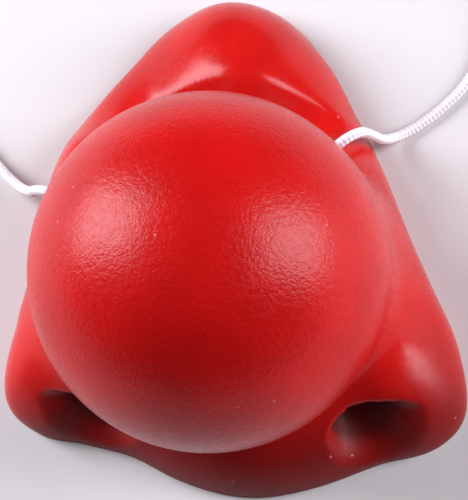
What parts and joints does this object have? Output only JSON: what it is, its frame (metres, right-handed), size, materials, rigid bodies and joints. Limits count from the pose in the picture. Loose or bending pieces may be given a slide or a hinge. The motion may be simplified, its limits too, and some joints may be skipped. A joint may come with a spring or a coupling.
{
  "type": "clown nose",
  "caption": "Red latex clown nose with a round ball, a grooved bridge, flared wings and dented nostrils, worn on a loose white round elastic with knotted ends.",
  "frame": {"origin": "the middle of the open rim, in the plane where it meets the face", "axes": "+X across the wings, to the picture's right; +Y up the bridge; +Z from the rim out through the ball"},
  "size_m": [0.0923, 0.1281, 0.053],
  "materials": {
    "red_latex": "satin",
    "white_elastic": "matte"
  },
  "bodies": {
    "root": {"nose_shell": "red_latex", "knot_right": "white_elastic", "knot_left": "white_elastic", "elastic_cord": "white_elastic"}
  },
  "joints": []
}
